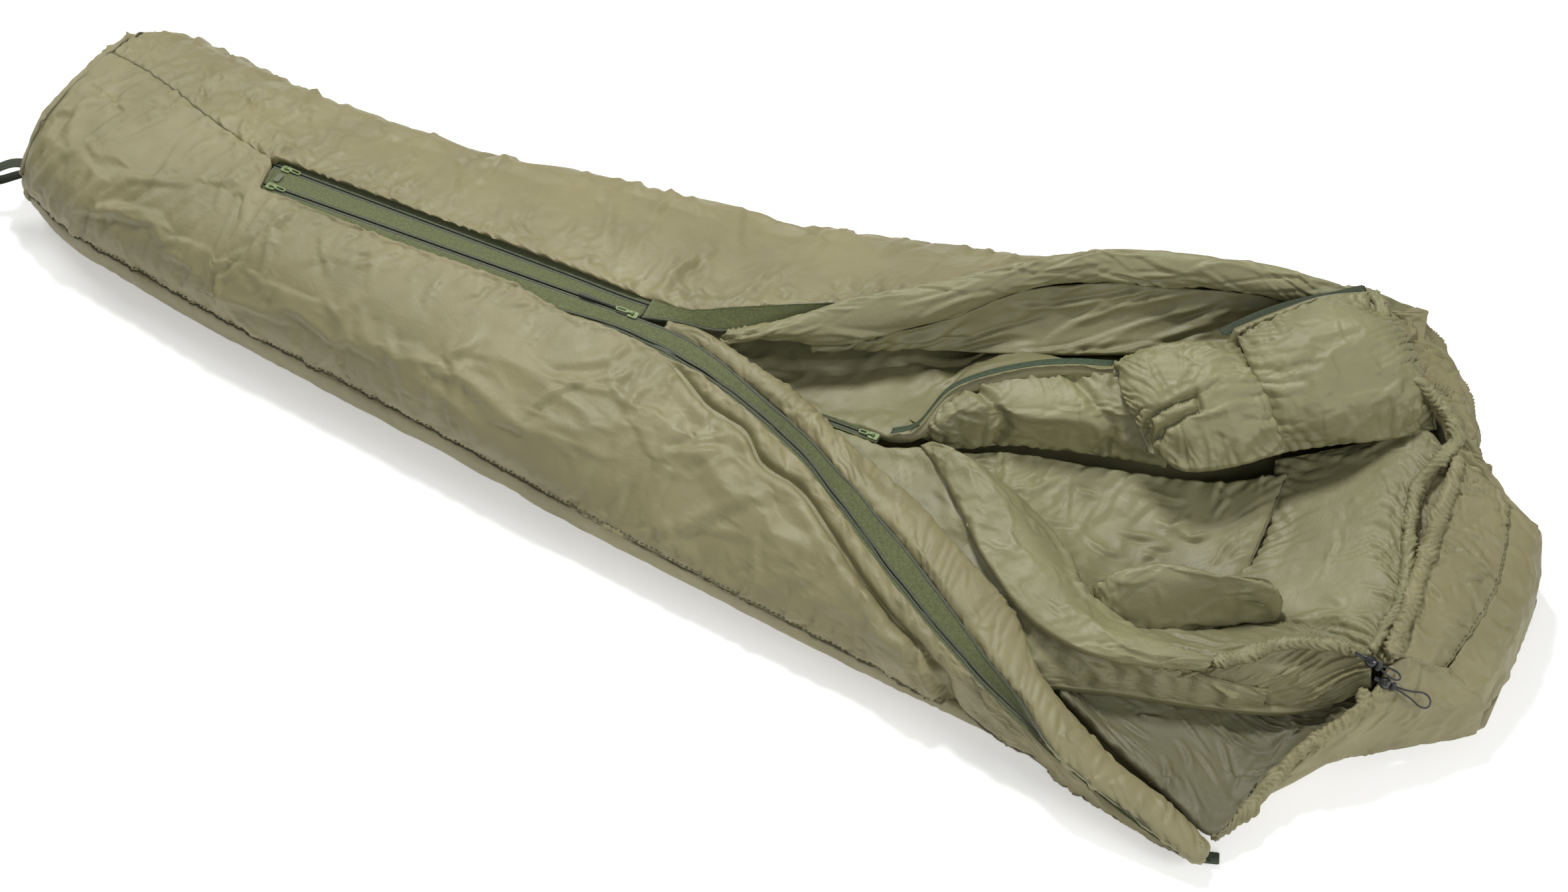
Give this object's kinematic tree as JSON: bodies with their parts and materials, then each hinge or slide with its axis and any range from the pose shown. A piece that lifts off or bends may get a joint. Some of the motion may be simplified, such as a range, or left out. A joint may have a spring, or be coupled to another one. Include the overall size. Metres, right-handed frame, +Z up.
{
  "type": "two-layer mummy sleeping bag",
  "caption": "Padded mummy sleeping bag of two nested bags, lying half unzipped, with long zips on sliding pulls, a drawcord hood and cord locks.",
  "frame": {"origin": "on the resting surface, under the middle of the bag's outline", "axes": "+X along the bag towards the hood, +Y away from the opened side, +Z up"},
  "size_m": [2.3195, 0.8712, 0.2741],
  "materials": {
    "outer_shell": "smooth plain-weave nylon with a soft sheen",
    "lining": "thin calendered nylon, slightly glossy",
    "inner_shell": "matte microfibre",
    "zip_tape": "ribbed woven tape",
    "zip_coil": "moulded nylon coil",
    "slider": "satin enamel",
    "webbing": "woven nylon webbing",
    "cord": "braided elastic",
    "cord_lock": "satin moulded",
    "pull_end": "matte"
  },
  "bodies": {
    "bag": {"outer_bottom_panel": "outer_shell", "outer_near_panel": "outer_shell", "outer_far_panel": "outer_shell", "foot_end_cap": "outer_shell", "far_flap_roll": "lining", "near_draft_tube": "lining", "outer_far_lining": "lining", "outer_near_lining": "lining", "inner_bottom_panel": "inner_shell", "inner_near_panel": "inner_shell", "inner_far_panel": "inner_shell", "inner_near_flap": "lining", "far_collar_tube": "lining", "quilted_collar_tab": "lining", "far_hood_baffle": "lining", "near_collar_pad": "lining", "torso_baffle": "lining", "head_baffle": "lining", "outer_channel_upper": "outer_shell", "outer_channel_lower": "outer_shell", "inner_channel_near": "inner_shell", "inner_channel_far": "inner_shell", "hood_back_panel": "outer_shell", "hood_crown_panel": "outer_shell", "hood_near_panel": "outer_shell", "hood_far_panel": "outer_shell", "zip_tape_far_edge": "zip_tape", "zip_tape_far_band": "zip_tape", "zip_tape_far_open": "zip_tape", "zip_tape_near_band": "zip_tape", "zip_coil_a_far": "zip_coil", "zip_coil_a_near": "zip_coil", "zip_coil_b_far": "zip_coil", "zip_coil_b_near": "zip_coil", "zip_coil_c": "zip_coil", "inner_zip_tape_near": "zip_tape", "inner_zip_coil_near": "zip_coil", "inner_zip_tape_far": "zip_tape", "inner_zip_coil_far": "zip_coil", "inner_zip_binding": "webbing", "head_strap": "webbing", "foot_hang_loop": "webbing", "flap_corner_tab": "webbing", "zip_foot_stop": "webbing", "zip_garage": "outer_shell", "cord_knot_upper": "cord", "hood_cord_upper": "cord", "cord_knot_lower": "cord", "hood_cord_lower": "cord"},
    "foot_a_slider": {"foot_a_slider": "slider"},
    "foot_a_pull": {"foot_a_pull": "slider"},
    "foot_b_slider": {"foot_b_slider": "slider"},
    "foot_b_pull": {"foot_b_pull": "slider"},
    "main_slider": {"main_slider": "slider"},
    "main_pull": {"main_pull": "slider", "main_pull_cord": "pull_end"},
    "inner_slider": {"inner_slider": "slider"},
    "inner_pull": {"inner_pull": "slider"},
    "cord_lock_upper": {"cord_lock_upper": "cord_lock"},
    "cord_lock_lower": {"cord_lock_lower": "cord_lock"}
  },
  "joints": [
    {"name": "foot_a_slide", "type": "slide", "parent": "bag", "child": "foot_a_slider", "axis": [0.9999, 0.0132, 0], "range_m": [0, 0.42]},
    {"name": "foot_a_pull_hinge", "type": "hinge", "parent": "foot_a_slider", "child": "foot_a_pull", "pos_m": [-0.6731, -0.0634, 0.1949], "axis": [0.0132, -0.9999, 0], "range_deg": [0, 150]},
    {"name": "foot_b_slide", "type": "slide", "parent": "bag", "child": "foot_b_slider", "axis": [0.9994, 0.035, 0], "range_m": [0, 0.2]},
    {"name": "foot_b_pull_hinge", "type": "hinge", "parent": "foot_b_slider", "child": "foot_b_pull", "pos_m": [-0.6731, -0.1023, 0.1949], "axis": [0.035, -0.9994, 0], "range_deg": [0, 150]},
    {"name": "main_slide", "type": "slide", "parent": "bag", "child": "main_slider", "axis": [0.9994, 0.035, 0], "range_m": [-0.24, 0]},
    {"name": "main_pull_hinge", "type": "hinge", "parent": "main_slider", "child": "main_pull", "pos_m": [-0.0911, -0.082, 0.1949], "axis": [-0.035, 0.9994, 0], "range_deg": [0, 140]},
    {"name": "inner_slide", "type": "slide", "parent": "bag", "child": "inner_slider", "axis": [0.9992, 0, 0.0396], "range_m": [-0.15, 0]},
    {"name": "inner_pull_hinge", "type": "hinge", "parent": "inner_slider", "child": "inner_pull", "pos_m": [0.27271, -0.0716, 0.12458], "axis": [0, 1, 0], "range_deg": [0, 140]},
    {"name": "cord_lock_upper_slide", "type": "slide", "parent": "bag", "child": "cord_lock_upper", "axis": [0.9541, 0.0477, -0.2955], "range_m": [-0.008, 0]},
    {"name": "cord_lock_lower_slide", "type": "slide", "parent": "bag", "child": "cord_lock_lower", "axis": [0.9582, 0.1253, -0.2571], "range_m": [-0.004, 0]}
  ]
}
